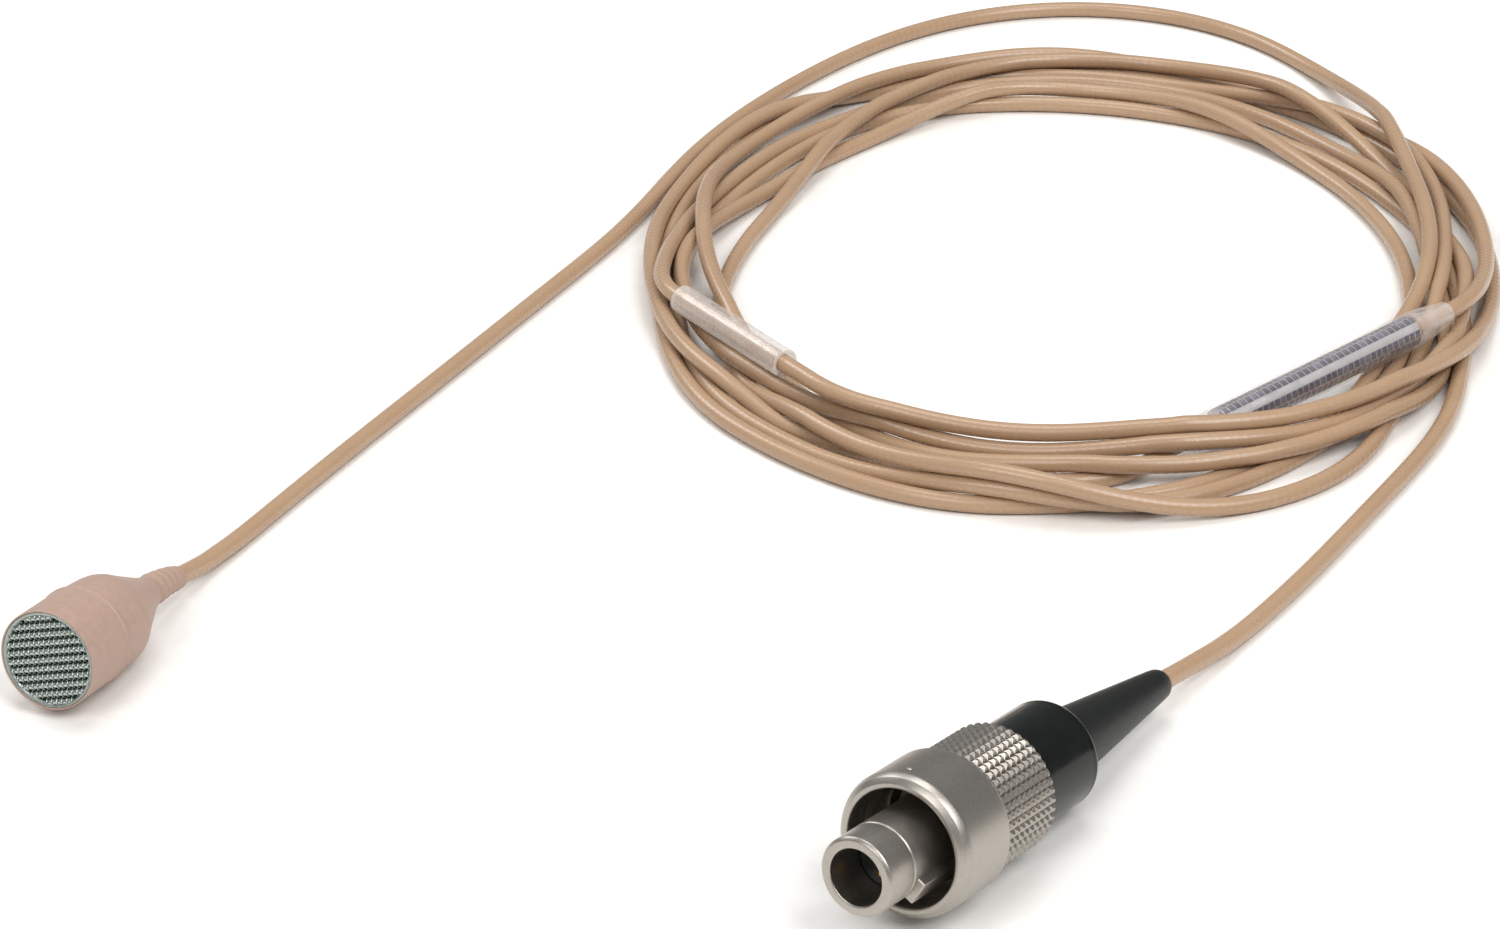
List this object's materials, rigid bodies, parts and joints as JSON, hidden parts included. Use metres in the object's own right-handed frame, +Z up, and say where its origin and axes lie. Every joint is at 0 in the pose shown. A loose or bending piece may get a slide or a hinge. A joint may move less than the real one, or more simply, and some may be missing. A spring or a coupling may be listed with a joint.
{
  "type": "miniature headset microphone",
  "caption": "Miniature beige condenser microphone head with a steel mesh grille, thin coiled cable, clear cable sleeve, label and a screw-locking circular plug.",
  "frame": {"origin": "On the resting surface, under the middle of the microphone head's footprint (grille to the end of its strain relief)", "axes": "+Z up from the resting surface; -Y is the way the grille faces, tipped 7 degrees up as the head lies; +Y is the way the cable leaves; +X is towards the plug"},
  "size_m": [0.0802, 0.1572, 0.0102],
  "materials": {
    "beige_housing": "satin painted moulding",
    "beige_boot": "moulded elastomer",
    "grille_steel": "woven and turned stainless steel",
    "damping_felt": "pressed felt",
    "capsule_aluminium": "drawn",
    "turned_brass": "turned",
    "metallised_film": "metallised film",
    "insulating_plastic": "moulded insulator",
    "circuit_board": "solder mask",
    "chip_epoxy": "moulded epoxy",
    "black_rubber": "moulded elastomer",
    "white_wire": "extruded insulation",
    "bare_copper": "bare copper",
    "satin_nickel": "satin nickel plate on brass",
    "black_barrel": "polished black",
    "gold_contact": "gold flash",
    "cable_jacket": "satin extruded jacket over a braid",
    "clear_sleeve": "clear extruded plastic",
    "label_foil": "printed foil"
  },
  "bodies": {
    "microphone": {"front_sleeve": "beige_housing", "rear_body": "beige_housing", "strain_relief": "beige_boot", "grille_mesh": "grille_steel", "grille_rim": "grille_steel", "retaining_ring": "grille_steel", "acoustic_felt": "damping_felt", "capsule_can": "capsule_aluminium", "diaphragm_ring": "turned_brass", "backplate": "turned_brass", "cable_crimp": "turned_brass", "cable_collet": "turned_brass", "diaphragm": "metallised_film", "diaphragm_spacer": "insulating_plastic", "plate_holder": "insulating_plastic", "contact_insert": "insulating_plastic", "amplifier_board": "circuit_board", "transistor": "chip_epoxy", "capsule_seal": "black_rubber", "bend_relief": "black_rubber", "signal_wire": "white_wire", "conductor_2": "white_wire", "conductor_3": "white_wire", "ground_wire": "bare_copper", "conductor_1": "bare_copper", "plug_shell": "satin_nickel", "plug_barrel": "black_barrel", "contact_pin_1": "gold_contact", "contact_pin_2": "gold_contact", "contact_pin_3": "gold_contact", "cable_head_side": "cable_jacket", "cable_coil": "cable_jacket", "cable_plug_side": "cable_jacket", "label_cover": "clear_sleeve", "label_foil": "label_foil"},
    "coupling_nut": {"coupling_nut": "satin_nickel"},
    "keeper": {"keeper_sleeve": "clear_sleeve"}
  },
  "joints": [
    {"name": "coupling_nut_spin", "type": "hinge", "parent": "microphone", "child": "coupling_nut", "pos_m": [0.06247, -0.00552, 0.00493], "axis": [-0.2271, -0.9682, 0.1045], "continuous": true},
    {"name": "keeper_slide", "type": "slide", "parent": "microphone", "child": "keeper", "axis": [0.8375, -0.5465, 0], "range_m": [-0.001, 0.004]}
  ]
}
